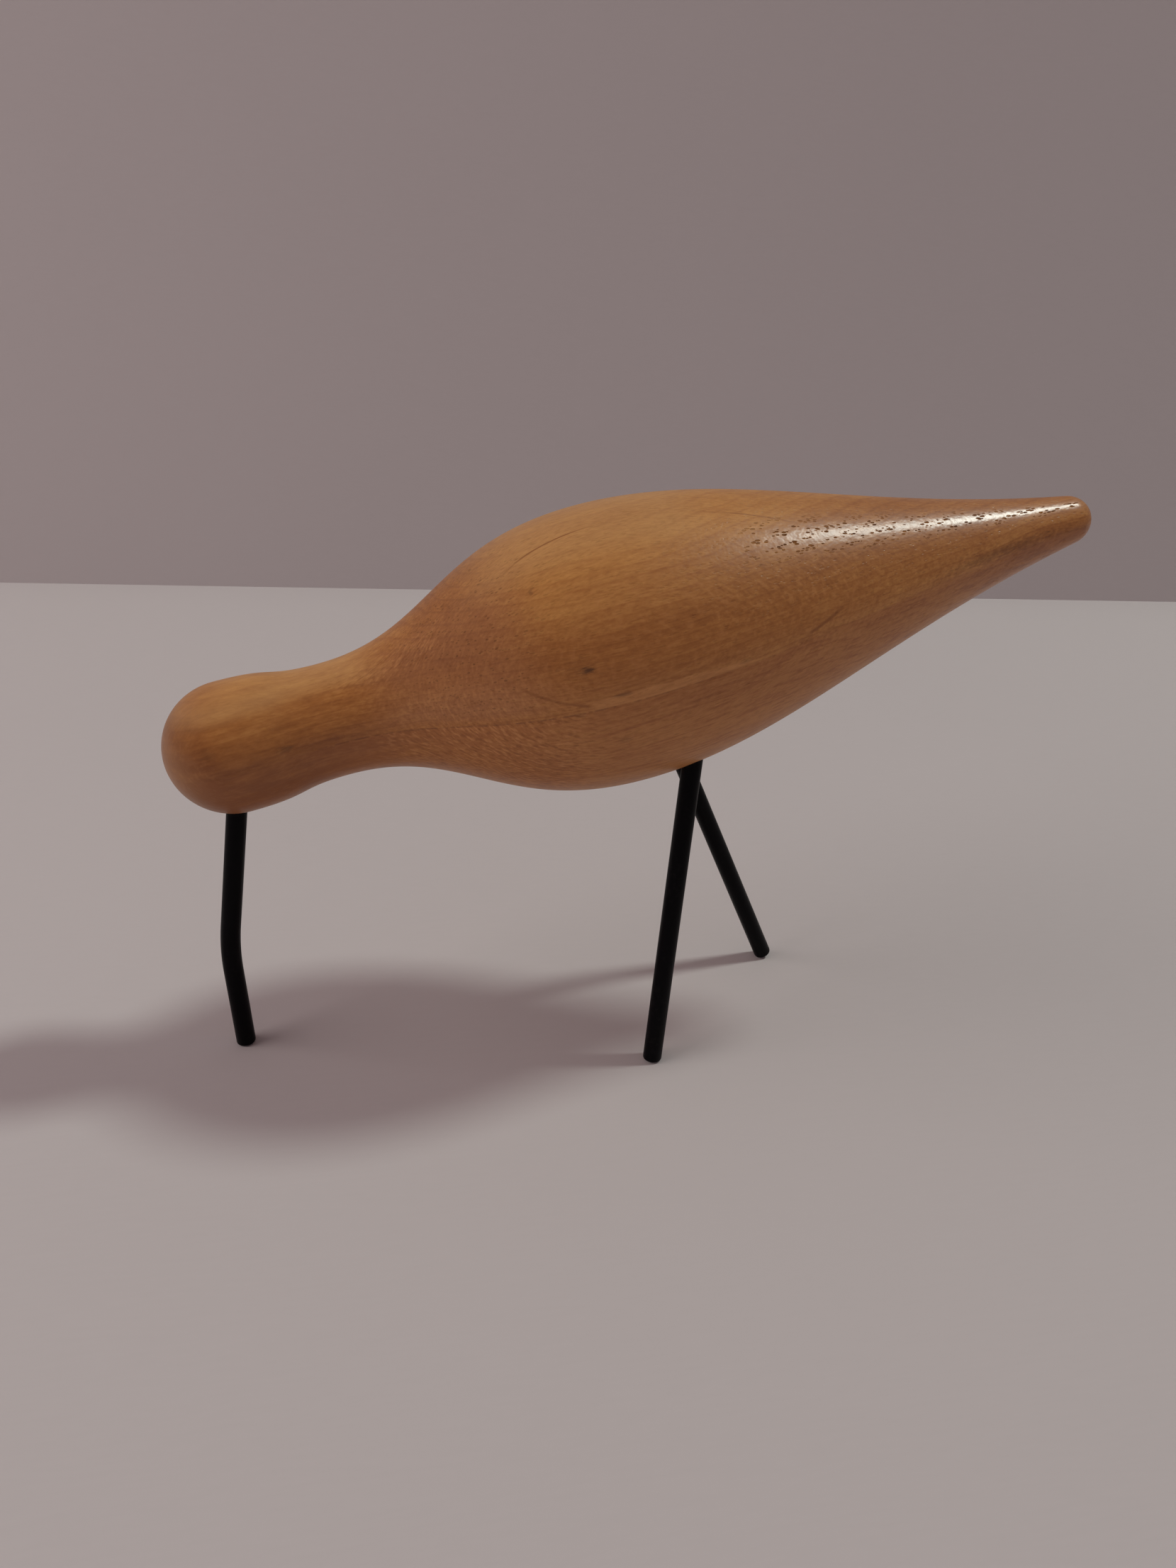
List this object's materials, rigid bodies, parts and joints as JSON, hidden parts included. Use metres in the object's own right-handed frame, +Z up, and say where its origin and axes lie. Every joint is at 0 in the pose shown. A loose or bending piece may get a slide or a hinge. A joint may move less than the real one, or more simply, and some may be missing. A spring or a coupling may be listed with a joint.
{
  "type": "shorebird decoy",
  "caption": "Turned wooden shorebird with its head down, standing on black metal rods that make its bent bill and splayed legs; a free-standing shelf ornament.",
  "frame": {"origin": "on the ground, halfway between the front of the head and the tip of the tail, in the bird's middle plane", "axes": "+X from the head to the tail, +Y to the bird's right side, +Z up"},
  "size_m": [0.2253, 0.0676, 0.1472],
  "materials": {
    "lacquered_wood": "honey-brown ring-porous hardwood under satin clear lacquer, grain along the body",
    "black_paint": "satin black paint on round steel bar"
  },
  "bodies": {
    "root": {"turned_body": "lacquered_wood", "bill_rod": "black_paint", "left_leg_rod": "black_paint", "right_leg_rod": "black_paint"}
  },
  "joints": []
}
